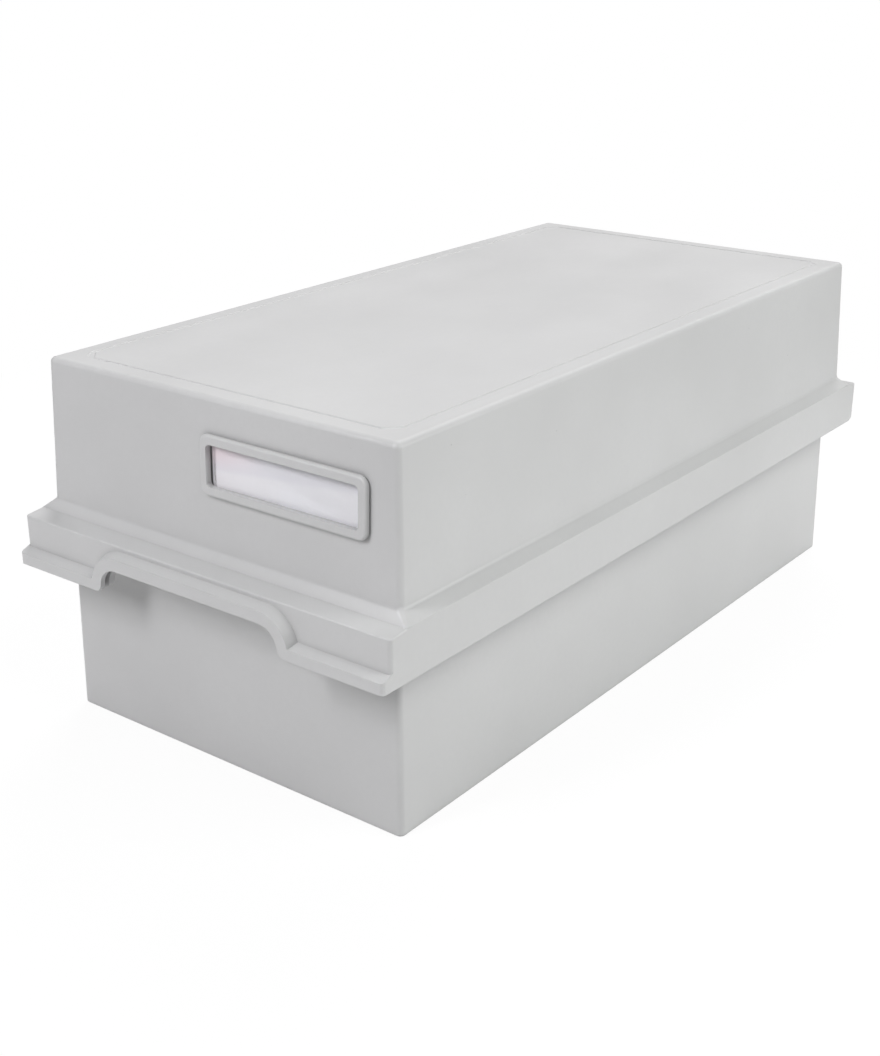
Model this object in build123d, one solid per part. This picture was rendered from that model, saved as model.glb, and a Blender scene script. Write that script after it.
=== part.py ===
from build123d import *
import math
import os

# A card box for landscape A6 index cards: a tray, a deep hinged lid, a label holder and two card supports.
# All sizes are in mm. The front looks along -Y, +Z is up and +X is on the viewer's right.

# Cards
card_width = 148.0
card_height = 105.0

# Lower tray
card_side_gap = 3.75
tray_wall = 2.5
tray_rim_length = 325.0
tray_lean = 0.8
tray_corner_radius = 2.2
tray_foot_radius = 0.8
floor_thickness = 2.5
foot_ring_height = 0.8
foot_ring_width = 6.0
rim_thickness = 2.5
rim_gap = 0.4
rest_gap = 0.3
inner_corner_radius = 1.2

# Lid: a drafted hood over a wider band
box_height = 142.4
lid_wall = 2.5
lid_top_thickness = 2.5
lid_draft = 2.0
lid_side_gap = 1.6
lid_end_gap = 1.0
lid_corner_radius = 2.2
lid_top_radius = 2.0
band_bottom = 64.3
band_height = 18.2
band_corner_radius = 1.6
band_edge_radius = 0.7
ledge_depth = 8.3
ledge_fall = 0.9
ledge_thickness = 2.3
shoulder_height = 3.8
side_shoulder_out = 4.5
end_shoulder_out = 2.7
shoulder_corner_radius = 0.8
shoulder_hollow_radius = 2.0
shoulder_inner_drop = 1.6

# Groove round the lid's top panel
groove_inset = 8.6
groove_width = 2.0
groove_depth = 0.35
groove_slant = 0.4
groove_corner = 5.0

# Front lip and hand grip
lip_reach = 4.1
lip_height = 4.3
lip_slope_drop = 1.6
lip_thickness = 2.0
grip_width = 87.0
grip_rise = 10.2
grip_corner_radius = 8.2
grip_mouth_radius = 3.0
grip_border = 4.8

# Hinge inside the back of the band
roll_radius = 5.0
roll_clearance = 0.4
pin_radius = 1.5
pin_running_gap = 0.05
pin_end = 2.0
leaf_thickness = 0.9
leaf_edge_gap = 0.3
leaf_seat_gap = 0.05
hinge_end_gap = 8.35
knuckle_count = 9
knuckle_gap = 0.4
knuckle_relief = 0.75
hinge_bar_thickness = 2.5
hinge_bar_end = 3.0
rivet_radius = 1.25
rivet_gap = 0.05
rivet_head_radius = 1.9
rivet_head_height = 0.9

# Label holder on the lid's front
label_centre_x = 34.3
label_centre_height = 118.6
frame_width = 74.4
frame_height = 22.0
frame_corner_radius = 3.6
frame_proud = 2.2
frame_edge_radius = 1.1
frame_shadow_gap = 0.5
window_width = 67.9
window_height = 15.2
window_corner_radius = 1.8
pane_lap = 0.8
pane_thickness = 0.5
pane_depth = 0.2
paper_thickness = 0.3
paper_side_gap = 1.1
backing_thickness = 1.4
backing_web = 0.7
backing_slot_length = 16.0
backing_slot_width = 4.0
backing_slot_radius = 1.5
pocket_gap = 0.1
collar_wall = 0.9
collar_gap = 0.15
collar_end = 0.6
hook_length = 12.0
hook_reach = 0.7
hook_height = 0.5

# Rails on the tray's floor
rail_spacing = 44.0
rail_width = 3.0
rail_height = 2.6
rail_end_gap = 10.0
tooth_pitch = 4.0
tooth_depth = 0.6

# Card supports
support_lean = 12.0
support_forward = 8.0
front_support_gap = 2.0
card_row_length = 224.0
slide_gap = 0.3
foot_length = 40.0
foot_width = 70.0
foot_height = 6.0
rail_side_gap = 0.4
support_pin_lift = 5.4
support_pin_radius = 1.5
support_pin_running_gap = 0.08
ear_radius = 4.6
ear_width = 4.0
ear_spacing = 44.0
ear_gap = 0.4
barrel_radius = 3.8
cheek_width = 7.0
cheek_length = 26.0
cheek_rise = 14.0
cheek_gap = 0.3
plate_thickness = 2.6
plate_foot_gap = 1.6
plate_corner_radius = 12.0
plate_rim_depth = 4.0
plate_rim_width = 2.0
plate_rib_spacing = 80.0
thumb_radius = 14.0
thumb_depth = 9.0

# Heights and half sizes that follow
band_top = band_bottom + band_height
ledge_under = band_top - ledge_thickness
shoulder_foot = band_top + ledge_fall
shoulder_top = shoulder_foot + shoulder_height
tray_height = ledge_under - rest_gap
floor_top = foot_ring_height + floor_thickness
tray_flare = tray_height * math.tan(math.radians(tray_lean))
tray_rim_x = card_width / 2 + card_side_gap + tray_wall
tray_rim_y = tray_rim_length / 2
lid_foot_x = tray_rim_x + lid_side_gap + lid_wall
lid_foot_y = tray_rim_y + lid_end_gap + lid_wall
lid_taper = math.tan(math.radians(lid_draft))
lid_top_x = lid_foot_x - (box_height - shoulder_top) * lid_taper
lid_top_y = lid_foot_y - (box_height - shoulder_top) * lid_taper
band_x = lid_foot_x + side_shoulder_out
shoulder_foot_y = lid_foot_y + end_shoulder_out
band_y = shoulder_foot_y + ledge_depth
lip_y = band_y + lip_reach
lip_top = band_bottom + lip_height
hinge_y = band_y - roll_radius
hinge_z = band_bottom + roll_radius
knuckle_radius = pin_radius + pin_running_gap + leaf_thickness
knuckle_bore = pin_radius + pin_running_gap
leaf_foot = hinge_z + knuckle_radius + knuckle_relief
leaf_head = tray_height - leaf_edge_gap
rivet_z = (leaf_foot + tray_height - rim_thickness) / 2
back_wall_inner = hinge_y + knuckle_radius + leaf_seat_gap
hinge_bar_face = hinge_y - knuckle_radius
hinge_length = 2 * (band_x - lid_wall - hinge_end_gap)

# Cuts run past what they cut by the overshoot; edges nearer to a height than the tolerance are on it
overshoot = 1.0
tolerance = 0.01

# The origin is under the middle of the whole outline, lip included
origin_shift = (lip_y - band_y) / 2


def frustum(low, high):
    """Solid between two rounded rectangles, each given as width, length, corner radius and height."""
    outlines = [Pos(0, 0, z) * RectangleRounded(w, l, r) for w, l, r, z in (low, high)]
    return loft(outlines, ruled=True)


def along_x(points, half_length, rounded=None, radius=0.0):
    """Bar along X with the given outline in Y and Z; one corner of it is rounded if it is named."""
    outline = Plane.YZ * make_face(Polyline(*points, close=True))
    if rounded is not None:
        corner = outline.vertices().sort_by_distance((0, rounded[0], rounded[1]))[0]
        outline = fillet(corner, radius)
    return extrude(outline, amount=half_length, both=True)


def rod(radius, length, y, z, x=0.0):
    """Round bar along X."""
    return Pos(x, y, z) * Rot(0, 90, 0) * Cylinder(radius, length)


def across_y(radius, near, far, x, z):
    """Round bar along Y, from near to far."""
    bar = Cylinder(radius, far - near, align=(Align.CENTER, Align.CENTER, Align.MIN))
    return Pos(x, near, z) * Rot(-90, 0, 0) * bar


def upright(outline, front, back):
    """Slab with an outline in X and Z, from y = front to y = back."""
    return extrude(Plane.XZ.offset(-back) * outline, amount=back - front)


# Grip outlines, seen from the front

def grip_opening():
    """Opening under the arch: each round end runs out into the rounded mouth below it."""
    end_z = band_bottom + grip_rise - grip_corner_radius
    end_x = grip_width / 2 - grip_corner_radius
    reach = grip_corner_radius + grip_mouth_radius
    climb = band_bottom + grip_mouth_radius - end_z
    mouth_x = end_x + math.sqrt(reach**2 - climb**2)
    meet_z = end_z + climb * grip_corner_radius / reach
    low = band_bottom - overshoot
    mouth = Pos(0, low) * Rectangle(2 * mouth_x, meet_z - low, align=(Align.CENTER, Align.MIN))
    for side in (-1, 1):
        mouth -= Pos(side * mouth_x, band_bottom + grip_mouth_radius) * Circle(grip_mouth_radius)
    return mouth + Pos(0, end_z) * SlotOverall(grip_width, 2 * grip_corner_radius)


def grip_hood(grow):
    """Rounded outline of the arch's border, made larger by grow."""
    half = grip_width / 2 + grip_border + grow
    high = band_bottom + grip_rise + grip_border + grow
    outline = Pos(0, band_bottom) * Rectangle(2 * half, high - band_bottom, align=(Align.CENTER, Align.MIN))
    tops = outline.vertices().sort_by(Axis.Y)[-2:]
    return fillet(tops, grip_corner_radius + grip_border + grow)


def front_lip():
    """Lip that steps out below the front of the band and rises over the grip."""
    slope = lip_slope_drop / lip_reach
    inside = band_y - band_corner_radius
    points = [
        (-inside, band_bottom),
        (-lip_y, band_bottom),
        (-lip_y, lip_top),
        (-inside, lip_top + (lip_y - inside) * slope),
    ]
    straight = along_x(points, band_x)
    near = Plane.XZ.offset(lip_y) * grip_hood(0)
    far = Plane.XZ.offset(band_y) * grip_hood(lip_slope_drop)
    hood = loft([far, near], ruled=True)
    plan = Pos(0, 0, band_bottom) * RectangleRounded(2 * band_x, 2 * lip_y, band_corner_radius)
    return (straight + hood) & extrude(plan, amount=band_height)


def lip_channel():
    """Narrow hollow between the lip and the band's front wall, open at the bottom."""
    width = 2 * (band_x - lid_wall)
    straight = Pos(0, band_bottom - overshoot) * Rectangle(
        width, lip_height - lip_thickness + overshoot, align=(Align.CENTER, Align.MIN)
    )
    return upright(straight + grip_hood(-lip_thickness), -lip_y + lip_thickness, -band_y)


# Lid

def lid_hood():
    """Upper part of the lid, drafted, with a rounded top edge."""
    hood = frustum(
        (2 * lid_foot_x, 2 * lid_foot_y, lid_corner_radius, shoulder_top),
        (2 * lid_top_x, 2 * lid_top_y, lid_corner_radius, box_height),
    )
    return fillet(hood.faces().sort_by(Axis.Z)[-1].edges(), lid_top_radius)


def lid_band():
    """Band round the lid's lower edge, with its ledges and the rolled lower edge at the back."""
    points = [
        (-band_y, band_bottom),
        (-band_y, band_top),
        (-shoulder_foot_y, shoulder_foot),
        (shoulder_foot_y, shoulder_foot),
        (band_y, band_top),
        (band_y, band_bottom),
    ]
    plan = Pos(0, 0, band_bottom) * RectangleRounded(2 * band_x, 2 * band_y, band_corner_radius)
    band = along_x(points, band_x, (band_y, band_bottom), roll_radius)
    band &= extrude(plan, amount=shoulder_foot - band_bottom)
    ledges = [
        e for e in band.edges().filter_by(Axis.X)
        if abs(abs(e.center().Y) - band_y) < tolerance and abs(e.center().Z - band_top) < tolerance
    ]
    return fillet(ledges, band_edge_radius)


def lid_cavity():
    """Inside of the lid: the hollows of the hood, the shoulder and the band, and the hinge roll."""
    in_x, in_y = lid_foot_x - lid_wall, lid_foot_y - lid_wall
    low, high = shoulder_top - shoulder_inner_drop, box_height - lid_top_thickness
    taken = (high - low) * lid_taper
    hood = frustum(
        (2 * in_x, 2 * in_y, inner_corner_radius, low),
        (2 * (in_x - taken), 2 * (in_y - taken), inner_corner_radius, high),
    )
    wide_x, wide_y = band_x - lid_wall, shoulder_foot_y - lid_wall
    foot = shoulder_foot - shoulder_inner_drop
    shoulder = frustum(
        (2 * wide_x, 2 * wide_y, shoulder_corner_radius, foot),
        (2 * in_x, 2 * in_y, inner_corner_radius, low),
    )
    step = RectangleRounded(2 * wide_x, 2 * wide_y, shoulder_corner_radius)
    step = extrude(Pos(0, 0, ledge_under - overshoot) * step, amount=foot - ledge_under + overshoot)
    points = [
        (-band_y + lid_wall, band_bottom - overshoot),
        (-band_y + lid_wall, ledge_under),
        (back_wall_inner, ledge_under),
        (back_wall_inner, hinge_z),
        (hinge_y, hinge_z),
        (hinge_y, band_bottom - overshoot),
    ]
    band = along_x(points, wide_x)
    roll = rod(knuckle_radius + roll_clearance, 2 * wide_x, hinge_y, hinge_z)
    return hood + shoulder + step + band + roll


def groove_outline(inset, z):
    """Rectangle in from the lid's top edge, with its corners cut across."""
    outline = Rectangle(2 * (lid_top_x - inset), 2 * (lid_top_y - inset))
    return Pos(0, 0, z) * chamfer(outline.vertices(), groove_corner)


def groove_cut():
    """Shallow groove round the top panel, with slanted sides."""
    outer, inner = groove_inset - groove_width / 2, groove_inset + groove_width / 2
    low = box_height - groove_depth
    around = loft([groove_outline(outer + groove_slant, low), groove_outline(outer, box_height)], ruled=True)
    panel = loft([groove_outline(inner - groove_slant, low), groove_outline(inner, box_height)], ruled=True)
    return around - panel


def make_lid():
    """Lid shell with its openings for the grip, the label holder and the hinge rivets."""
    shoulder = frustum(
        (2 * band_x, 2 * shoulder_foot_y, shoulder_corner_radius, shoulder_foot),
        (2 * lid_foot_x, 2 * lid_foot_y, lid_corner_radius, shoulder_top),
    )
    lid = lid_hood() + shoulder
    hollow = [e for e in lid.edges() if abs(e.bounding_box().min.Z - shoulder_top) < tolerance
              and abs(e.bounding_box().max.Z - shoulder_top) < tolerance]
    lid = fillet(hollow, shoulder_hollow_radius) + lid_band() + front_lip()
    lid -= lid_cavity()
    lid -= lip_channel()
    lid -= upright(grip_opening(), -lip_y - overshoot, -band_y + lid_wall + overshoot)
    lid -= groove_cut()
    cut_out = RectangleRounded(
        collar_width + 2 * collar_gap, collar_height + 2 * collar_gap, window_corner_radius + collar_wall
    )
    lid -= label_plane * extrude(cut_out, amount=lid_wall + overshoot, both=True)
    hole = rivet_radius + rivet_gap
    sink = rivet_head_radius + rivet_gap
    for x in lid_rivet_places:
        lid -= across_y(hole, back_wall_inner - overshoot, band_y + overshoot, x, rivet_z)
        lid -= across_y(sink, band_y - rivet_head_height, band_y + overshoot, x, rivet_z)
    return lid


# Tray

rail_end = tray_rim_y - tray_wall - rail_end_gap


def floor_rail(x):
    """Serrated rail on the tray's floor."""
    teeth = int(2 * rail_end / tooth_pitch)
    start = -teeth * tooth_pitch / 2
    top = floor_top + rail_height
    points = [(start, floor_top - overshoot), (start, top)]
    for n in range(teeth):
        points.append((start + (n + 0.5) * tooth_pitch, top - tooth_depth))
        points.append((start + (n + 1) * tooth_pitch, top))
    points.append((-start, floor_top - overshoot))
    return Pos(x, 0, 0) * along_x(points, rail_width / 2)


def make_tray():
    """Lower tray with its turned-out rim, hinge bar, floor rails and foot ring."""
    tray = frustum(
        (2 * (tray_rim_x + tray_flare), 2 * (tray_rim_y + tray_flare), tray_corner_radius, 0),
        (2 * tray_rim_x, 2 * tray_rim_y, tray_corner_radius, tray_height),
    )
    tray = fillet(tray.faces().sort_by(Axis.Z)[0].edges(), tray_foot_radius)
    rim_x = band_x - lid_wall - rim_gap
    rim_front = band_y - lid_wall - rim_gap
    rim = Pos(0, (hinge_bar_face - rim_front) / 2, tray_height - rim_thickness) * RectangleRounded(
        2 * rim_x, hinge_bar_face + rim_front, tray_corner_radius
    )
    tray += extrude(rim, amount=rim_thickness)
    bar_back = hinge_bar_face - hinge_bar_thickness
    bar = [
        (bar_back, leaf_foot),
        (bar_back, tray_height - rim_thickness / 2),
        (hinge_bar_face, tray_height - rim_thickness / 2),
        (hinge_bar_face, leaf_foot),
    ]
    tray += along_x(bar, hinge_length / 2 + hinge_bar_end)
    lean = math.tan(math.radians(tray_lean))
    rise = tray_height - floor_top
    in_x, in_y = tray_rim_x - tray_wall, tray_rim_y - tray_wall
    over = overshoot * lean
    tray -= frustum(
        (2 * (in_x + rise * lean), 2 * (in_y + rise * lean), inner_corner_radius, floor_top),
        (2 * (in_x - over), 2 * (in_y - over), inner_corner_radius, tray_height + overshoot),
    )
    ring_x = tray_rim_x + tray_flare - foot_ring_width
    ring_y = tray_rim_y + tray_flare - foot_ring_width
    recess = Pos(0, 0, -overshoot) * RectangleRounded(2 * ring_x, 2 * ring_y, tray_corner_radius)
    tray -= extrude(recess, amount=foot_ring_height + overshoot)
    for side in (-1, 1):
        tray += floor_rail(side * rail_spacing / 2)
    hole = rivet_radius + rivet_gap
    for x in tray_rivet_places:
        tray -= across_y(hole, bar_back - overshoot, hinge_bar_face + overshoot, x, rivet_z)
    return tray


# Hinge

knuckle_length = (hinge_length - (knuckle_count - 1) * knuckle_gap) / knuckle_count
knuckle_places = [
    -hinge_length / 2 + knuckle_length / 2 + n * (knuckle_length + knuckle_gap) for n in range(knuckle_count)
]
tray_rivet_places = knuckle_places[0::2]
lid_rivet_places = knuckle_places[1::2]


def hinge_leaf(side, places, head):
    """Steel leaf with rolled knuckles, on the side of the pin given by -1 or 1."""
    near, far = side * knuckle_bore, side * knuckle_radius
    front, back = hinge_y + min(near, far), hinge_y + max(near, far)
    plate = [(front, leaf_foot), (front, head), (back, head), (back, leaf_foot)]
    leaf = along_x(plate, hinge_length / 2)
    neck = [(front, hinge_z), (front, leaf_foot), (back, leaf_foot), (back, hinge_z)]
    for x in places:
        leaf += Pos(x, 0, 0) * along_x(neck, knuckle_length / 2)
        leaf += rod(knuckle_radius, knuckle_length, hinge_y, hinge_z, x)
    leaf -= rod(knuckle_bore, hinge_length + overshoot, hinge_y, hinge_z)
    for x in places:
        leaf -= across_y(rivet_radius + rivet_gap, front - overshoot, back + overshoot, x, rivet_z)
    return leaf


def make_hinge_pin():
    """Steel rod through all the knuckles."""
    pin = rod(pin_radius, hinge_length + 2 * pin_end, hinge_y, hinge_z)
    return chamfer(pin.edges().filter_by(GeomType.CIRCLE), pin_radius / 4)


def rivet_row(places, start, end):
    """Rivets that clamp what lies between y = start and y = end, with a rounded head beyond each face."""
    rivets = Part()
    for x in places:
        rivet = across_y(rivet_radius, start - rivet_head_height, end + rivet_head_height, x, rivet_z)
        rivet += across_y(rivet_head_radius, start - rivet_head_height, start, x, rivet_z)
        rivet += across_y(rivet_head_radius, end, end + rivet_head_height, x, rivet_z)
        faces = rivet.faces().filter_by(Axis.Y).sort_by(Axis.Y)
        rivets += fillet(faces[0].edges() + faces[-1].edges(), rivet_head_height / 2)
    return rivets


# Label holder, drawn flat on the lid's sloping front wall

label_y = lid_foot_y - (label_centre_height - shoulder_top) * lid_taper
label_plane = Plane(
    origin=(label_centre_x, -label_y, label_centre_height),
    x_dir=(1, 0, 0),
    z_dir=(0, -math.cos(math.radians(lid_draft)), math.sin(math.radians(lid_draft))),
)
pane_width = window_width + 2 * pane_lap
pane_height = window_height + 2 * pane_lap
pocket_width = pane_width + 2 * pocket_gap
pocket_height = pane_height + 2 * pocket_gap
collar_width = pocket_width + 2 * collar_wall
collar_height = pocket_height + 2 * collar_wall
collar_depth = lid_wall + collar_end


def slab(width, height, radius, top, thickness):
    """Rounded plate whose front face lies at the given height above the lid's wall."""
    return extrude(Pos(0, 0, top - thickness) * RectangleRounded(width, height, radius), amount=thickness)


def make_label_frame():
    """Bezel with a shadow gap at its foot, and a collar that goes through the lid's wall and hooks behind."""
    gap = frame_shadow_gap
    bezel = slab(frame_width, frame_height, frame_corner_radius, frame_proud, frame_proud - gap)
    bezel = fillet(bezel.faces().sort_by(Axis.Z)[-1].edges(), frame_edge_radius)
    foot = slab(frame_width - 2 * gap, frame_height - 2 * gap, frame_corner_radius - gap, gap, gap)
    collar = slab(collar_width, collar_height, window_corner_radius + collar_wall, 0, collar_depth)
    frame = bezel + foot + collar
    hook_z = -collar_depth + hook_height / 2
    for x in (-frame_width / 4, frame_width / 4):
        for side in (-1, 1):
            y = side * (collar_height / 2 + hook_reach / 2 - collar_wall / 2)
            frame += Pos(x, y, hook_z) * Box(hook_length, hook_reach + collar_wall, hook_height)
    frame -= slab(pocket_width, pocket_height, window_corner_radius, -pane_depth, collar_depth)
    above = frame_proud + overshoot
    frame -= slab(window_width, window_height, window_corner_radius, above, above + overshoot)
    return label_plane * frame


def make_label_window():
    """Clear pane behind the bezel."""
    return label_plane * slab(pane_width, pane_height, window_corner_radius, -pane_depth, pane_thickness)


def make_label_card():
    """Blank paper label behind the pane, a little short at its left end."""
    width = pane_width - paper_side_gap
    top = -pane_depth - pane_thickness
    paper = slab(width, pane_height, window_corner_radius, top, paper_thickness)
    return label_plane * Pos(paper_side_gap / 2, 0, 0) * paper


def make_label_backing():
    """Plate that closes the holder from inside the lid, with a finger slot."""
    top = -pane_depth - pane_thickness - paper_thickness
    plate = slab(pane_width, pane_height, window_corner_radius, top, backing_thickness)
    depth = top - backing_web
    slot = slab(backing_slot_length, backing_slot_width, backing_slot_radius, depth, backing_thickness)
    return label_plane * (plate - slot)


# Card supports: each is made about its pin's axis, upright, then set in place

front_support_y = -rail_end + front_support_gap + foot_length / 2
rear_support_y = front_support_y + card_row_length
pin_z = floor_top + slide_gap + foot_height + support_pin_lift
plate_foot = ear_radius + plate_foot_gap
plate_height = card_height - pin_z


def support_plate(y):
    """Leaning plate with a rim and two ribs on its back and a thumb notch at the top."""
    half = card_width / 2
    outline = Pos(0, plate_foot) * Rectangle(
        card_width, plate_height - plate_foot, align=(Align.CENTER, Align.MIN)
    )
    outline = fillet(outline.vertices().sort_by(Axis.Y)[-2:], plate_corner_radius)
    notch = Pos(0, plate_height + thumb_radius - thumb_depth) * Circle(thumb_radius)
    skin = upright(outline - notch, -plate_thickness / 2, plate_thickness / 2)
    rim = outline - notch - offset(outline - notch, -plate_rim_width)
    rim -= Rectangle(foot_width + 2 * plate_rim_width, 2 * (plate_foot + plate_rim_width + tolerance))
    plate = skin + upright(rim, plate_thickness / 2, plate_thickness / 2 + plate_rim_depth)
    for side in (-1, 1):
        rib = Pos(side * plate_rib_spacing / 2, plate_foot) * Rectangle(
            plate_rim_width, plate_height - plate_foot - plate_rim_width / 2, align=(Align.CENTER, Align.MIN)
        )
        plate += upright(rib, plate_thickness / 2, plate_thickness / 2 + plate_rim_depth)
    tab_width = ear_spacing - ear_width - 2 * ear_gap
    tab = Rectangle(tab_width, plate_foot + overshoot, align=(Align.CENTER, Align.MIN))
    plate += upright(tab, -plate_thickness / 2, plate_thickness / 2)
    plate += rod(barrel_radius, tab_width, 0, 0)
    plate -= rod(support_pin_radius + support_pin_running_gap, tab_width + overshoot, 0, 0)
    return Pos(0, y, pin_z) * Rot(-support_lean, 0, 0) * plate


def support_foot(y):
    """Foot that straddles the floor rails, with ears for the pin and slotted cheeks that stop the plate."""
    base_z = -support_pin_lift - foot_height
    standing = (Align.CENTER, Align.CENTER, Align.MIN)
    foot = Pos(0, 0, base_z) * Box(foot_width, foot_length, foot_height, align=standing)
    for side in (-1, 1):
        channel = Pos(side * rail_spacing / 2, 0, base_z - overshoot) * Box(
            rail_width + 2 * rail_side_gap,
            foot_length + overshoot,
            rail_height + overshoot,
            align=standing,
        )
        foot -= channel
        ear = Plane.YZ * (
            Circle(ear_radius)
            + Pos(0, -support_pin_lift - overshoot) * Rectangle(
                2 * ear_radius, support_pin_lift + overshoot, align=(Align.CENTER, Align.MIN)
            )
        )
        ear_x = side * ear_spacing / 2
        foot += Pos(ear_x, 0, 0) * extrude(ear, amount=ear_width / 2, both=True)
        cheek_x = side * (foot_width - cheek_width) / 2
        cheek = Pos(cheek_x, 0, -support_pin_lift - overshoot) * Box(
            cheek_width,
            cheek_length,
            support_pin_lift + cheek_rise + overshoot,
            align=standing,
        )
        foot += cheek
    foot -= lean_slot()
    foot -= rod(support_pin_radius, foot_width - 2 * cheek_width, 0, 0)
    return Pos(0, y, pin_z) * foot


def lean_slot():
    """Wedge of space between the plate's two stops, with a small gap at each."""
    half = plate_thickness / 2 + cheek_gap
    high = cheek_rise + overshoot
    front_slope = math.tan(math.radians(support_forward))
    back_slope = math.tan(math.radians(support_lean))
    front_foot = -half / math.cos(math.radians(support_forward))
    back_foot = half / math.cos(math.radians(support_lean))
    points = [
        (front_foot, 0),
        (front_foot - high * front_slope, high),
        (back_foot + high * back_slope, high),
        (back_foot, 0),
    ]
    return along_x(points, foot_width)


def support_pin(y):
    """Steel pin between the foot's ears."""
    return Pos(0, y, pin_z) * rod(support_pin_radius, ear_spacing + ear_width, 0, 0)


def save(shape, name):
    """Write one piece, with the origin under the middle of the outline."""
    export_step(Pos(0, origin_shift, 0) * shape, f"parts/{name}.step")


os.makedirs("parts", exist_ok=True)
save(make_tray(), "lower_tray")
save(make_lid(), "lid_shell")
save(hinge_leaf(-1, tray_rivet_places, leaf_head), "hinge_tray_leaf")
save(hinge_leaf(1, lid_rivet_places, leaf_head), "hinge_lid_leaf")
save(make_hinge_pin(), "hinge_pin")
tray_rivets = rivet_row(tray_rivet_places, hinge_bar_face - hinge_bar_thickness, hinge_y - knuckle_bore)
lid_rivets = rivet_row(lid_rivet_places, hinge_y + knuckle_bore, band_y - rivet_head_height)
save(tray_rivets, "hinge_tray_rivets")
save(lid_rivets, "hinge_lid_rivets")
save(make_label_frame(), "label_frame")
save(make_label_window(), "label_window")
save(make_label_card(), "label_card")
save(make_label_backing(), "label_backing")
for place, support_y in (("front", front_support_y), ("rear", rear_support_y)):
    save(support_plate(support_y), f"{place}_support_plate")
    save(support_foot(support_y), f"{place}_support_foot")
    save(support_pin(support_y), f"{place}_support_pin")
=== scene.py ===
import math

import bmesh
import bpy
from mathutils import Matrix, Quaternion, Vector


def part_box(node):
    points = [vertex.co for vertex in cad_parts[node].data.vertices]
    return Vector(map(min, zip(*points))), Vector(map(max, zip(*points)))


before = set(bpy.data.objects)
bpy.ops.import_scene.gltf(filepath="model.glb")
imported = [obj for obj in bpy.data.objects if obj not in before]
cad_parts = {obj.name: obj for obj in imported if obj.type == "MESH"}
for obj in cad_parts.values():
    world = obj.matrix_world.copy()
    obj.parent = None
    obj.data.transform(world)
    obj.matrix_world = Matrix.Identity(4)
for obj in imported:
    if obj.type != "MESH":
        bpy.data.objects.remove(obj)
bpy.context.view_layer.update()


# Lower tray. One injection moulding in light grey polystyrene, 2.5 mm thick, with its rim turned out to
# carry the lid. The colour goes all through it, the mould left a fine satin skin, and walls this long are
# never quite flat.

def screen_colour(red, green, blue):
    """Colour as a shader takes it, from its screen values of 0 to 255."""
    def one(value):
        share = value / 255
        return share / 12.92 if share <= 0.04045 else ((share + 0.055) / 1.055) ** 2.4
    return one(red), one(green), one(blue)


def shade(colour, factor):
    """The same colour, paler by a factor above 1 and darker by one below it."""
    return tuple(min(1, part * factor) for part in colour)


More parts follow.
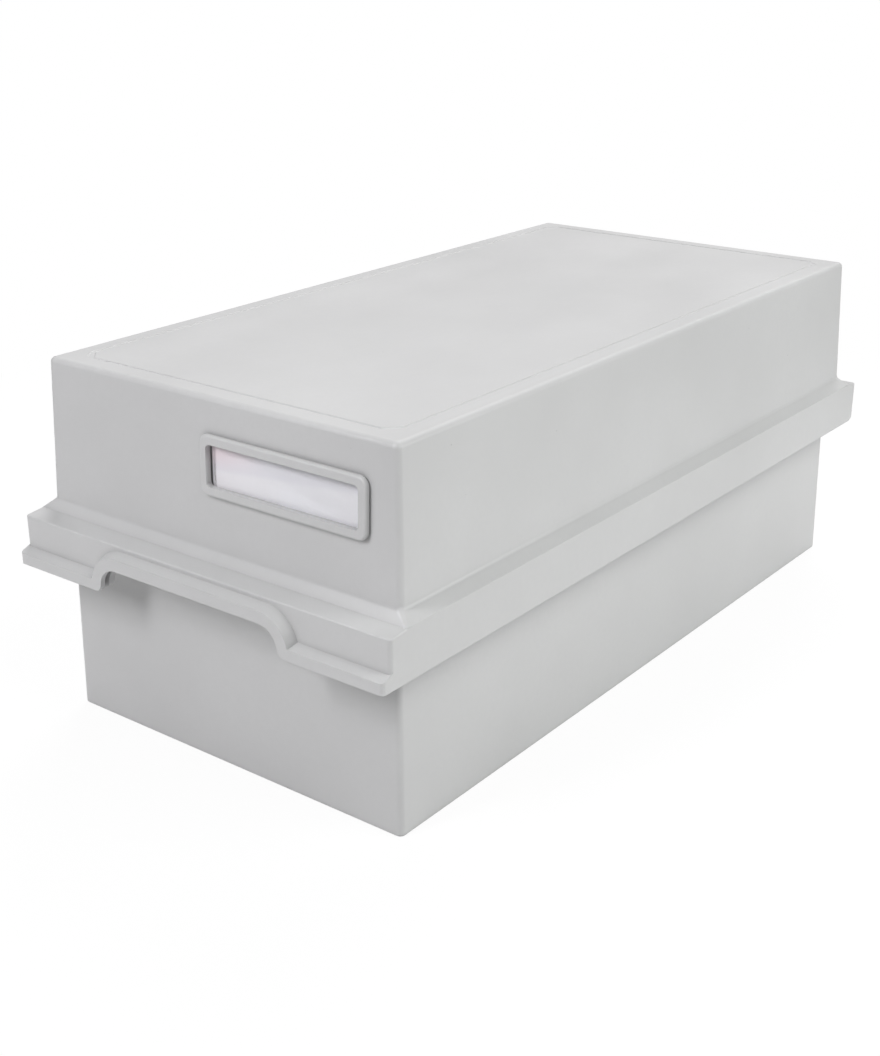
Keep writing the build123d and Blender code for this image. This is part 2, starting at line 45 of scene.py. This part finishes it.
class Finish:
    """Finish of a new material, or of the room, put together from shader nodes. Lengths are in metres."""

    def __init__(self, holder):
        holder.use_nodes = True
        self.tree = holder.node_tree

    def join(self, socket, value):
        """Link a socket to another node's output, or set a plain value or colour on it."""
        if hasattr(value, "is_linked"):
            self.tree.links.new(value, socket)
        elif socket.type == "RGBA":
            socket.default_value = (*value, 1)
        else:
            socket.default_value = value

    def feed(self, node, **sockets):
        """Fill a node's sockets by name, with an underscore for a space."""
        for name, value in sockets.items():
            self.join(node.inputs[name.replace("_", " ")], value)
        return node

    def node(self, kind, **sockets):
        """New shader node with its sockets filled."""
        return self.feed(self.tree.nodes.new(kind), **sockets)

    def skin(self, **sockets):
        """Fill the sockets of the surface shader that a new material starts with, and give its output."""
        return self.feed(self.tree.nodes["Principled BSDF"], **sockets).outputs[0]

    def place(self, scale=(1, 1, 1)):
        """Place on the piece. A scale below 1 draws a pattern out along that direction."""
        here = self.node("ShaderNodeTexCoord").outputs["Object"]
        return self.node("ShaderNodeMapping", Vector=here, Scale=scale).outputs["Vector"]

    def clouds(self, place, per_metre, detail, harshness):
        """Cloudy pattern from 0 to 1, with about so many clouds to a metre."""
        return self.node(
            "ShaderNodeTexNoise", Vector=place, Scale=per_metre, Detail=detail, Roughness=harshness
        ).outputs["Fac"]

    def span(self, value, low, high, to_low=0, to_high=1):
        """Value from low to high turned into to_low to to_high, and held at the ends."""
        return self.node(
            "ShaderNodeMapRange", Value=value, From_Min=low, From_Max=high, To_Min=to_low, To_Max=to_high
        ).outputs["Result"]

    def calculate(self, operation, first, second):
        """Product, difference or the like of two values."""
        node = self.node("ShaderNodeMath")
        node.operation = operation
        self.join(node.inputs[0], first)
        self.join(node.inputs[1], second)
        return node.outputs[0]

    def times(self, first, second):
        """Product of two values."""
        return self.calculate("MULTIPLY", first, second)

    def measure(self, operation, *vectors):
        """Length of a vector, or how far two of them point the same way."""
        node = self.node("ShaderNodeVectorMath")
        node.operation = operation
        for socket, vector in zip(node.inputs, vectors):
            self.join(socket, vector)
        return node.outputs["Value"]

    def blend(self, share, first, second):
        """Colour between two others, the second where the share is 1."""
        node = self.node("ShaderNodeMix", Factor=share)
        node.data_type = "RGBA"
        for name, colour in (("A", first), ("B", second)):
            socket = [other for other in node.inputs if other.name == name and other.type == "RGBA"][0]
            self.join(socket, colour)
        return [output for output in node.outputs if output.type == "RGBA"][0]

    def specks(self, place, per_metre, size, kept):
        """Round specks of about the given size, some fainter, in the kept share of a loose grid's cells."""
        cells = self.node("ShaderNodeTexVoronoi", Vector=place, Scale=per_metre)
        spot_radius = 0.5 * size * per_metre
        spot_core = 0.3 * size * per_metre
        spots = self.span(cells.outputs["Distance"], spot_radius, spot_core)
        draws = self.node("ShaderNodeSeparateColor", Color=cells.outputs["Color"])
        chosen = self.calculate("LESS_THAN", draws.outputs["Red"], kept)
        return self.times(spots, self.times(chosen, draws.outputs["Green"]))

    def crevice_shade(self, reach):
        """Mask for painted shade: 1 deep in grooves and inner corners, 0 on open walls, judged from what is
        within the reach.
        """
        open_wall = 0.97
        deep_groove = 0.72
        node = self.node("ShaderNodeAmbientOcclusion", Distance=reach)
        node.samples = 8
        return self.span(node.outputs["AO"], open_wall, deep_groove)

    def soft_edges(self, radius):
        """Direction of the surface, with sharp edges rounded by a radius."""
        node = self.node("ShaderNodeBevel", Radius=radius)
        node.samples = 6
        return node.outputs["Normal"]

    def relief(self, height, depth, **below):
        """Surface relief of a pattern, of the given depth, over another relief where one is given."""
        bump = self.node("ShaderNodeBump", Height=height, Distance=depth, Strength=1.0, **below)
        return bump.outputs["Normal"]


polystyrene_ior = 1.59
dust_size = 0.0006
dust_share = 0.16
dust_cover = 0.45
# Share of the paler edge colour, partly wear and partly a painted highlight.
edge_paling = 0.12
wear_shine = 0.08
groove_reach = 0.0025
# Strength of the painted shade in grooves and inner corners.
crevice_shade_strength = 0.15
grain_depth = 0.000012


def moulded(name, colour, roughness, edge_radius, wave_depth, batch):
    """Moulded polystyrene. The number of its batch puts its clouds and its dust in other places."""
    material = bpy.data.materials.new(name)
    finish = Finish(material)
    place = finish.place()

    # The pigment never spreads quite evenly.
    pale = shade(colour, 1.035)
    dark = shade(colour, 0.965)
    mottled = shade(colour, 0.95)
    shifted = finish.place((1, 1, 1 + 0.01 * batch))
    clouds = finish.clouds(shifted, per_metre=9 + batch, detail=3, harshness=0.6)
    mottle = finish.clouds(place, per_metre=420, detail=2, harshness=0.6)
    base = finish.blend(finish.span(clouds, low=0.3, high=0.7), dark, pale)
    base = finish.blend(finish.span(mottle, low=0.35, high=0.75, to_high=0.25), base, mottled)

    # Dust settles on it in single specks.
    dusty = shade(colour, 0.35)
    dust = finish.specks(place, per_metre=95 + batch, size=dust_size, kept=dust_share)
    base = finish.blend(finish.times(dust, dust_cover), base, dusty)

    # Shelves and hands wear its edges smoother, here more and there less. Their paler colour is partly that
    # wear and partly a painted highlight along the edges.
    paled_edge_colour = shade(colour, 1.2)
    edges = finish.soft_edges(edge_radius)
    flat = finish.node("ShaderNodeNewGeometry").outputs["Normal"]
    turned = finish.span(finish.measure("DOT_PRODUCT", edges, flat), low=0.995, high=0.85)
    scuffs = finish.clouds(place, per_metre=160, detail=4, harshness=0.7)
    wear_and_highlight = finish.times(turned, finish.span(scuffs, low=0.35, high=0.65, to_low=0.25))
    base = finish.blend(finish.times(wear_and_highlight, edge_paling), base, paled_edge_colour)

    # Painted shade: grooves and inner corners are darkened where little light reaches them.
    crevice_shade_colour = shade(colour, 0.25)
    base = finish.blend(finish.times(finish.crevice_shade(groove_reach), crevice_shade_strength), base, crevice_shade_colour)

    # Handling leaves the satin skin shinier in some places than in others.
    along = finish.place((1, 0.35, 1))
    handled = finish.clouds(along, per_metre=26, detail=4, harshness=0.65)
    satin = finish.span(handled, low=0.3, high=0.7, to_low=roughness - 0.05, to_high=roughness + 0.06)
    satin = finish.calculate("SUBTRACT", satin, finish.times(wear_and_highlight, wear_shine))

    # Slow waves run through the walls, and a fine grain lies over them.
    waves = finish.clouds(place, per_metre=11, detail=1, harshness=0.4)
    grain = finish.clouds(place, per_metre=2600, detail=2, harshness=0.6)
    relief = finish.relief(waves, wave_depth, Normal=edges)
    relief = finish.relief(grain, grain_depth, Normal=relief)
    finish.skin(Base_Color=base, Roughness=satin, IOR=polystyrene_ior, Normal=relief)
    return material


def give_finish(name, material):
    """Give a CAD node its finish."""
    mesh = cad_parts[name].data
    mesh.materials.clear()
    mesh.materials.append(material)


box_grey = screen_colour(203, 203, 203)
box_satin = 0.36
tray_edge_radius = 0.0004
wall_wave_depth = 0.0006
give_finish("lower_tray", moulded(
    "tray_polystyrene", box_grey, box_satin, tray_edge_radius, wall_wave_depth, batch=1))


# Card supports, one in front of the cards and one behind. Each is a moulded foot that slides on the tray's
# floor rails, a moulded plate that leans back on it, and a zinc-plated steel pin that joins the two.

rolling_depth = 0.00001
steel_edge_radius = 0.0002


def plated_steel(name, colour, roughness, rolled=(1, 1, 1)):
    """Zinc-plated steel with a cloudy bloom. A rolled piece has its fine grain drawn out into lines."""
    material = bpy.data.materials.new(name)
    finish = Finish(material)
    bloom = finish.clouds(finish.place(), per_metre=60, detail=4, harshness=0.6)
    base = finish.blend(finish.span(bloom, low=0.35, high=0.7), colour, shade(colour, 0.86))
    lines = finish.clouds(finish.place(rolled), per_metre=900, detail=3, harshness=0.6)
    satin = finish.span(lines, low=0.3, high=0.7, to_low=roughness - 0.07, to_high=roughness + 0.1)
    relief = finish.relief(lines, rolling_depth, Normal=finish.soft_edges(steel_edge_radius))
    finish.skin(Base_Color=base, Metallic=1.0, Roughness=satin, Normal=relief)
    return material


steel_grey = (0.6, 0.6, 0.61)
steel_satin = 0.34
rolled_across = (0.05, 1, 1)
steel = plated_steel("plated_steel", steel_grey, steel_satin, rolled_across)

support_grey = screen_colour(192, 192, 191)
support_satin = 0.38
support_edge_radius = 0.0004
support_wave_depth = 0.0003
support_plastic = moulded(
    "support_polystyrene", support_grey, support_satin, support_edge_radius, support_wave_depth, batch=5)

for end in ("front", "rear"):
    give_finish(f"{end}_support_plate", support_plastic)
    give_finish(f"{end}_support_foot", support_plastic)
    give_finish(f"{end}_support_pin", steel)


# Lid. One moulding in the same polystyrene as the tray, with the stepped band, the front lip with its
# arched hand grip and the ledge over the hinge all in one. Its edges are crisper than the tray's.

lid_edge_radius = 0.00025
give_finish("lid_shell", moulded(
    "lid_polystyrene", box_grey, box_satin, lid_edge_radius, wall_wave_depth, batch=2))


# Label holder. A moulded bezel on the lid's front wall, a clear cover and a blank paper label behind it, and
# the moulded plate that clips in from inside the lid and keeps them there.

bezel_edge_radius = 0.0003
bezel_wave_depth = 0.00003
give_finish("label_frame", moulded(
    "bezel_polystyrene", box_grey, box_satin, bezel_edge_radius, bezel_wave_depth, batch=3))

backing_grey = screen_colour(192, 192, 190)
backing_satin = 0.4
backing_edge_radius = 0.0002
backing_wave_depth = 0.0001
give_finish("label_backing", moulded(
    "backing_polystyrene", backing_grey, backing_satin, backing_edge_radius, backing_wave_depth, batch=4))

# The painted reflections on the paper keep their place from its lower left corner.
card_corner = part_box("label_card")[0]
reflection_line = card_corner.z + 0.00593
reflection_slope = 0.09
reflection_fade_below = 0.0008
reflection_fade_above = 0.0012
rosy_reflection_left = card_corner.x + 0.00135
rosy_reflection_right = rosy_reflection_left + 0.024
rosy_reflection_rise = 0.006
reflection_strength = 0.7
fibre_depth = 0.00002


def label_paper():
    """Smooth white card with a faint fibre, and painted reflections: a pale violet tint on its upper part
    and a rosy one at its left.
    """
    material = bpy.data.materials.new("label_paper")
    finish = Finish(material)
    place = finish.place()

    cool_paper = screen_colour(251, 251, 255)
    warm_paper = screen_colour(253, 251, 253)
    fibre_white = screen_colour(248, 248, 252)
    drift = finish.clouds(place, per_metre=22, detail=2, harshness=0.5)
    fibre = finish.clouds(finish.place((1, 1, 2.5)), per_metre=900, detail=5, harshness=0.7)
    base = finish.blend(finish.span(drift, low=0.35, high=0.7), cool_paper, warm_paper)
    base = finish.blend(finish.span(fibre, low=0.4, high=0.7, to_high=0.3), base, fibre_white)

    # Painted reflection: a pale violet tint over the upper part of the card.
    violet_reflection = screen_colour(242, 241, 247)
    parts = finish.node("ShaderNodeSeparateXYZ", Vector=place).outputs
    height = finish.calculate("SUBTRACT", parts["Z"], finish.times(parts["X"], reflection_slope))
    upper = finish.span(height, reflection_line - reflection_fade_below, reflection_line + reflection_fade_above)
    base = finish.blend(finish.times(upper, reflection_strength), base, violet_reflection)

    # Painted reflection: a rosy tint at the left of the upper part, made uneven by the drift.
    rose_reflection = screen_colour(250, 227, 232)
    left = finish.span(parts["X"], rosy_reflection_right, rosy_reflection_left)
    high = finish.span(height, reflection_line, reflection_line + rosy_reflection_rise, to_low=0.1)
    uneven = finish.span(drift, low=0.3, high=0.7, to_low=0.6)
    rosy_reflection = finish.times(finish.times(left, high), uneven)
    base = finish.blend(finish.times(rosy_reflection, reflection_strength), base, rose_reflection)

    relief = finish.relief(fibre, fibre_depth)
    finish.skin(Base_Color=base, Specular_IOR_Level=0.3, Roughness=0.85, Normal=relief)
    return material


def either(finish, share, first, second):
    """Shader between two others, the second where the share is 1."""
    node = finish.node("ShaderNodeMixShader")
    for socket, value in zip(node.inputs, (share, first, second)):
        finish.join(socket, value)
    return node.outputs[0]


cover_ior = 1.5
cover_shine = 0.8
cover_body = (0.02, 0.02, 0.02)
cover_clear = (1, 1, 1)


def clear_cover():
    """Thin clear sheet with a trace of dust. Light goes straight through, and its outer face shines."""
    material = bpy.data.materials.new("clear_cover")
    finish = Finish(material)
    dust = finish.clouds(finish.place(), per_metre=700, detail=4, harshness=0.7)
    polish = finish.span(dust, low=0.4, high=0.8, to_low=0.05, to_high=0.16)
    shine = finish.skin(Base_Color=cover_body, IOR=cover_ior, Roughness=polish)
    clear = finish.node("ShaderNodeBsdfTransparent", Color=cover_clear).outputs[0]

    # Below 0 on the inner face, so that only the outer one shines.
    inner_face = finish.node("ShaderNodeNewGeometry").outputs["Backfacing"]
    outside = finish.calculate("SUBTRACT", cover_shine, inner_face)
    glance = finish.node("ShaderNodeFresnel", IOR=cover_ior).outputs["Fac"]
    sheet = either(finish, finish.times(glance, outside), clear, shine)
    finish.feed(finish.tree.nodes["Material Output"], Surface=sheet)
    return material


give_finish("label_card", label_paper())
give_finish("label_window", clear_cover())


# Hinge. Two strips of the same zinc-plated steel as the supports' pins, with knuckles round one long pin.
# Rivets of brighter steel hold one strip to the tray's hinge bar and the other inside the lid's back band.

for name in ("hinge_tray_leaf", "hinge_lid_leaf", "hinge_pin"):
    give_finish(name, steel)

rivet_grey = (0.66, 0.66, 0.67)
rivet_satin = 0.28
rivet_steel = plated_steel("rivet_steel", rivet_grey, rivet_satin)
for name in ("hinge_tray_rivets", "hinge_lid_rivets"):
    give_finish(name, rivet_steel)


# Studio. A white table in a white room, lit by soft lamps, as a small product is photographed for a
# catalogue. The camera stands to the right of the front, a little above the box, and looks down on it.

def around(target, azimuth, elevation, distance):
    """Place at a distance from the target, azimuth 0 in front of the box and 90 at its right."""
    turn = math.radians(azimuth)
    lift = math.radians(elevation)
    flat = distance * math.cos(lift)
    offset = Vector((flat * math.sin(turn), -flat * math.cos(turn), distance * math.sin(lift)))
    return Vector(target) + offset


def aimed(data, name, place, target):
    """Camera or lamp at a place, looking at a target."""
    thing = bpy.data.objects.new(name, data)
    thing.location = place
    thing.rotation_euler = (Vector(target) - Vector(place)).to_track_quat("-Z", "Y").to_euler()
    bpy.context.scene.collection.objects.link(thing)
    return thing


view_middle = Vector((0, -0.0338, 0.05364))
view_azimuth = 37.548
view_elevation = 21.892
view_distance = 0.64412
view_roll = math.radians(-0.12)

camera_data = bpy.data.cameras.new("camera")
camera_data.sensor_width = 36
camera_data.sensor_fit = "AUTO"
camera_data.lens = 52.395
camera_data.clip_start = 0.01
camera_place = around(view_middle, view_azimuth, view_elevation, view_distance)
camera = aimed(camera_data, "camera", camera_place, view_middle)
upright = camera.rotation_euler.to_quaternion()
camera.rotation_euler = (upright @ Quaternion((0, 0, 1), view_roll)).to_euler()
bpy.context.scene.camera = camera
bpy.context.scene.view_settings.view_transform = "Standard"

box_middle = (0, 0, 0.07)


def softbox(name, azimuth, elevation, distance, width, height, power, colour, mirrored=True):
    """Rectangular lamp that looks at the middle of the box. One that isn't mirrored stays out of gloss."""
    data = bpy.data.lights.new(name, "AREA")
    data.shape = "RECTANGLE"
    data.size = width
    data.size_y = height
    data.energy = power
    data.color = colour
    lamp = aimed(data, name, around(box_middle, azimuth, elevation, distance), box_middle)
    lamp.visible_glossy = mirrored


softbox("front_strip", azimuth=-13, elevation=36, distance=1.6, width=0.28, height=0.75,
        power=11.9, colour=(0.99, 0.985, 1.0))
softbox("front_left_strip", azimuth=-32, elevation=38, distance=1.6, width=0.25, height=0.5,
        power=1.6, colour=(0.97, 0.97, 1.0))
softbox("front_top_box", azimuth=0, elevation=52, distance=1.45, width=0.62, height=0.5,
        power=1.4, colour=(0.95, 0.95, 1.0))
softbox("right_low_box", azimuth=120, elevation=6, distance=1.45, width=0.7, height=0.5,
        power=4.4, colour=(0.98, 0.99, 1.0))
softbox("right_near_box", azimuth=115, elevation=28, distance=1.5, width=1.0, height=0.5,
        power=2.6, colour=(0.99, 1.0, 0.97), mirrored=False)
softbox("right_top_box", azimuth=90, elevation=50, distance=1.5, width=1.0, height=0.8,
        power=12.3, colour=(0.985, 1.0, 0.985), mirrored=False)
softbox("left_back_box", azimuth=-155, elevation=42, distance=1.6, width=1.0, height=1.0,
        power=21.6, colour=(1.0, 0.985, 0.995), mirrored=False)

white = (1, 1, 1)
cool_white = (0.97, 0.98, 1.0)


def ray(finish, kind):
    """1 for rays of one kind, and 0 for the others."""
    return finish.node("ShaderNodeLightPath").outputs[f"Is {kind} Ray"]


def seen(finish):
    """1 for what the camera sees straight or through glass, 0 for light that falls on things."""
    return finish.calculate("MAXIMUM", ray(finish, "Camera"), ray(finish, "Transmission"))


def white_room(fill, gloss):
    """World that is white to the eye and a soft grey in gloss, and that lights things with a little fill."""
    room = bpy.data.worlds.new("white_room")
    finish = Finish(room)
    finish.tree.nodes.clear()
    falling = finish.node("ShaderNodeBackground", Color=cool_white, Strength=fill).outputs[0]
    mirrored = finish.node("ShaderNodeBackground", Color=white, Strength=gloss).outputs[0]
    plain = finish.node("ShaderNodeBackground", Color=white, Strength=1.0).outputs[0]
    hidden = either(finish, ray(finish, "Glossy"), falling, mirrored)
    finish.node("ShaderNodeOutputWorld", Surface=either(finish, seen(finish), hidden, plain))
    bpy.context.scene.world = room


white_room(fill=0.01, gloss=0.15)

table_radius = 6
table_sides = 96
table_drop = 0.0002
table_grey = (0.7, 0.7, 0.7)


def white_table(pool_inner, pool_outer, pool_light, rim_light, shadow_inner, shadow_outer, shadow_white):
    """White that keeps a faint shadow near the box. In gloss it is a pool of light with a dim rim."""
    material = bpy.data.materials.new("white_table")
    finish = Finish(material)
    finish.tree.nodes.clear()
    here = finish.node("ShaderNodeTexCoord").outputs["Object"]
    reach = finish.measure("LENGTH", here)
    paper_colour = finish.blend(seen(finish), table_grey, white)
    paper = finish.node("ShaderNodeBsdfDiffuse", Color=paper_colour).outputs[0]
    pool_glow = finish.span(reach, pool_inner, pool_outer, pool_light, rim_light)
    pool = finish.node("ShaderNodeEmission", Color=white, Strength=pool_glow).outputs[0]
    plain = finish.node("ShaderNodeEmission", Color=white, Strength=1.0).outputs[0]
    lit = either(finish, ray(finish, "Glossy"), paper, pool)
    plain_share = finish.times(seen(finish), finish.span(reach, shadow_inner, shadow_outer, shadow_white))
    finish.node("ShaderNodeOutputMaterial", Surface=either(finish, plain_share, lit, plain))
    return material


table_mesh = bpy.data.meshes.new("table")
disc = bmesh.new()
bmesh.ops.create_circle(disc, cap_ends=True, radius=table_radius, segments=table_sides)
disc.to_mesh(table_mesh)
disc.free()
table_mesh.materials.append(white_table(
    pool_inner=0.35, pool_outer=0.6, pool_light=0.82, rim_light=0.11,
    shadow_inner=0.22, shadow_outer=0.5, shadow_white=0.93))
table = bpy.data.objects.new("table", table_mesh)
table.location = (0, 0, -table_drop)
bpy.context.scene.collection.objects.link(table)
